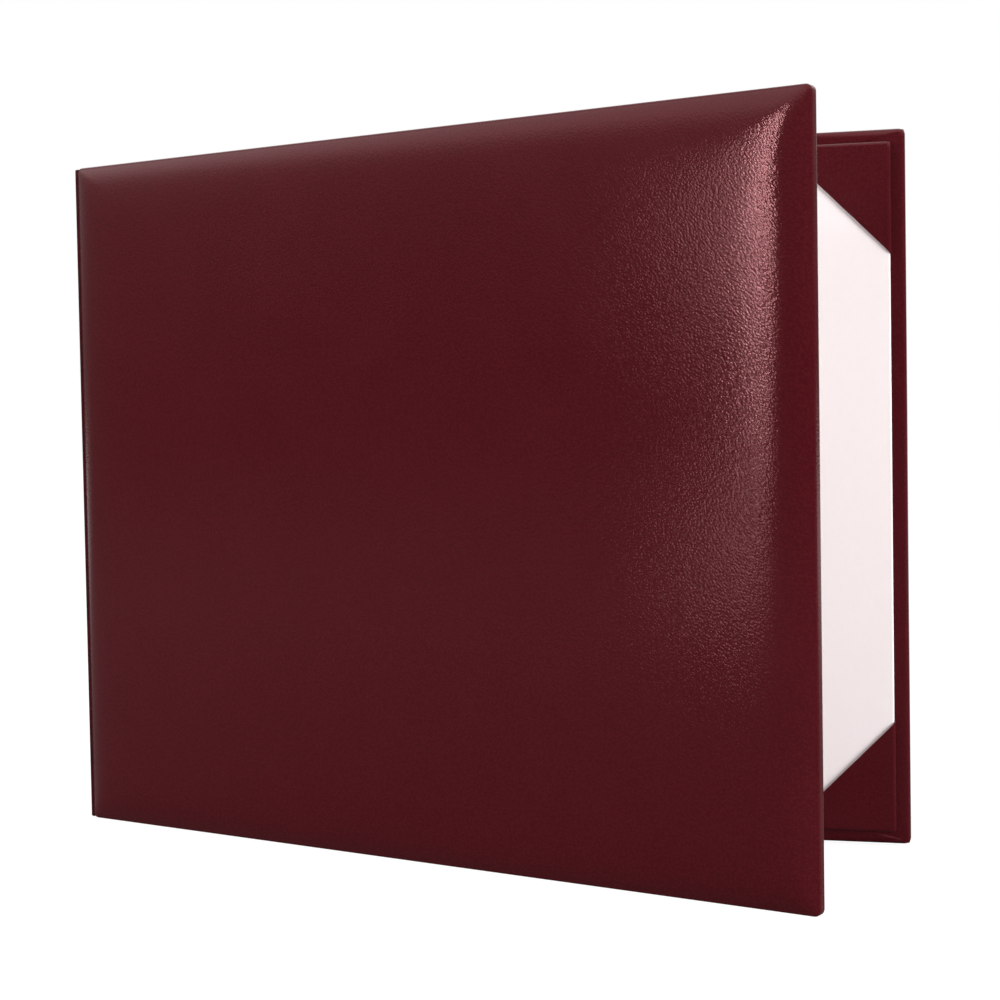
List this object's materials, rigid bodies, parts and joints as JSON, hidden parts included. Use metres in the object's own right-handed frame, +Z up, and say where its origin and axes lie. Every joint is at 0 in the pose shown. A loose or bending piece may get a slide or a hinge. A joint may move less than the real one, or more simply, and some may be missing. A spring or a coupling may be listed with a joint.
{
  "type": "diploma cover",
  "caption": "Landscape padded diploma cover in burgundy leatherette, standing open like a card, with a white-lined inner panel whose corner pockets hold a certificate.",
  "frame": {"origin": "under the middle of the standing cover's overall box, on the surface it stands on", "axes": "+Z up, +X from the spine along the back cover to its free edge, +Y out through the back cover's outer face"},
  "size_m": [0.292, 0.1064, 0.234],
  "materials": {
    "leatherette": "fine pebble grain, satin",
    "white_lining": "matte",
    "greyboard": "raw greyboard, matte",
    "foam": "open foam, matte"
  },
  "bodies": {
    "back_cover": {"back_board": "greyboard", "back_leatherette": "leatherette", "back_spine_strip": "leatherette", "back_panel_board": "greyboard", "back_panel_lining": "white_lining", "pocket_top_spine_corner": "leatherette", "pocket_top_free_corner": "leatherette", "pocket_bottom_spine_corner": "leatherette", "pocket_bottom_free_corner": "leatherette"},
    "spine": {"spine_leatherette": "leatherette", "spine_strip": "leatherette"},
    "front_cover": {"front_board": "greyboard", "front_foam": "foam", "front_leatherette": "leatherette", "front_spine_strip": "leatherette", "front_panel_board": "greyboard", "front_panel_lining": "white_lining"}
  },
  "joints": [
    {"name": "back_hinge", "type": "hinge", "parent": "back_cover", "child": "spine", "pos_m": [-0.14401, 0.05316, 0.117], "axis": [0, 0, -1], "range_deg": [-9.5, 80.5]},
    {"name": "front_hinge", "type": "hinge", "parent": "spine", "child": "front_cover", "pos_m": [-0.14601, 0.04122, 0.117], "axis": [0, 0, -1], "range_deg": [-9.5, 80.5]}
  ]
}
